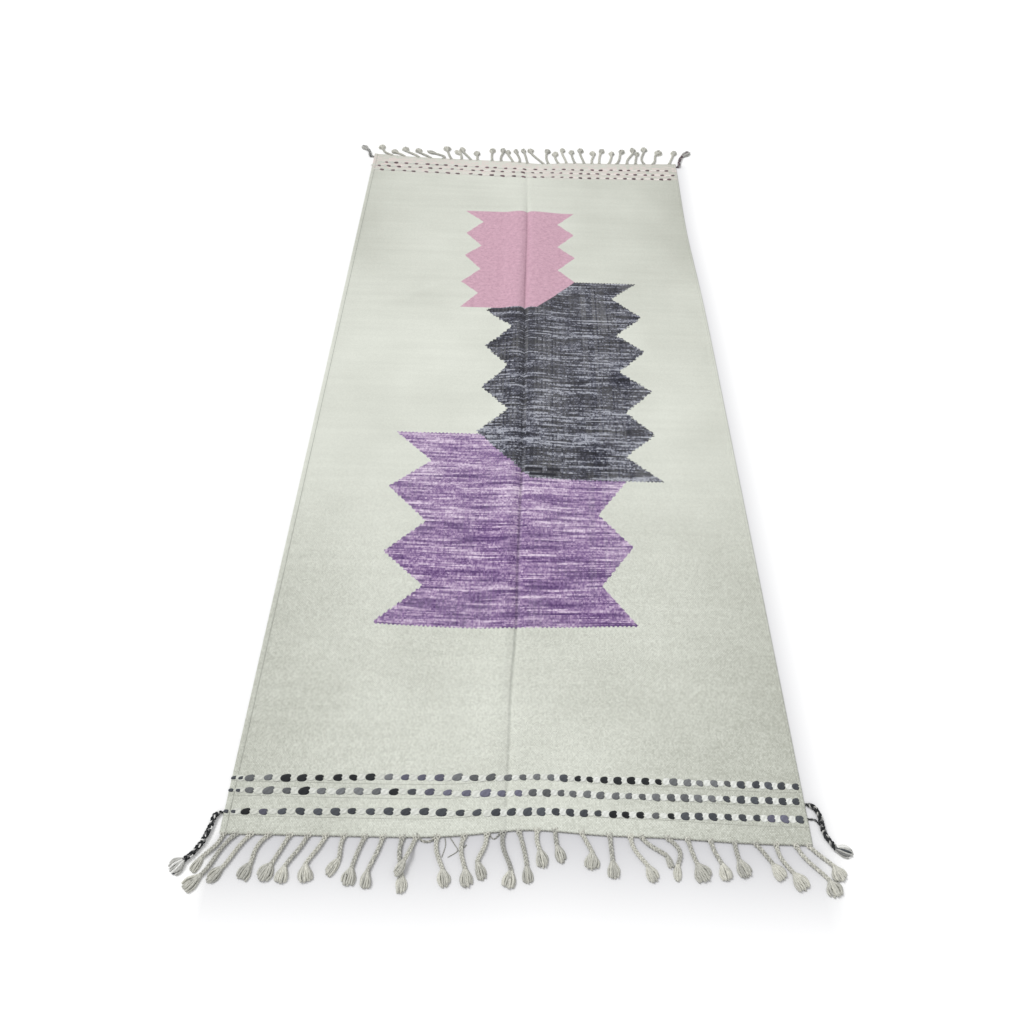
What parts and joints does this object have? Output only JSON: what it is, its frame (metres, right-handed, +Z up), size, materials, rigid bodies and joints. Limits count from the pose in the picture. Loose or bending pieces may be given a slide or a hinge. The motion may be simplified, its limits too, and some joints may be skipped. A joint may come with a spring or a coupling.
{
  "type": "flat-woven rug with tasselled ends",
  "caption": "Long flat-woven wool rug lying flat, with a soft lengthwise crease, ribbed twined rows and plaited tassels at both ends.",
  "frame": {"origin": "on the floor under the middle of the rug's whole outline, tassels included", "axes": "+Y lengthwise, from the end with the dark twined rows to the end with the plum twined rows; +X across, to the right seen from that near end; +Z up from the floor"},
  "size_m": [1.129, 2.3098, 0.015],
  "materials": {
    "cream_wool": "flat-woven undyed wool with dyed pink, charcoal and purple blocks, matte",
    "natural_warp_yarn": "plaited greyish undyed wool warp yarn, matte",
    "black_white_yarn": "black and white wool yarns twisted together, matte",
    "grey_yarn": "grey wool yarn, matte",
    "plum_yarn": "plum and grey wool yarns twisted together, matte"
  },
  "bodies": {
    "root": {"woven_cloth": "cream_wool", "warp_fringe_near": "natural_warp_yarn", "warp_fringe_far": "natural_warp_yarn", "corner_plait_near_left": "black_white_yarn", "corner_plait_near_right": "black_white_yarn", "corner_plait_far_left": "grey_yarn", "corner_plait_far_right": "plum_yarn"}
  },
  "joints": []
}
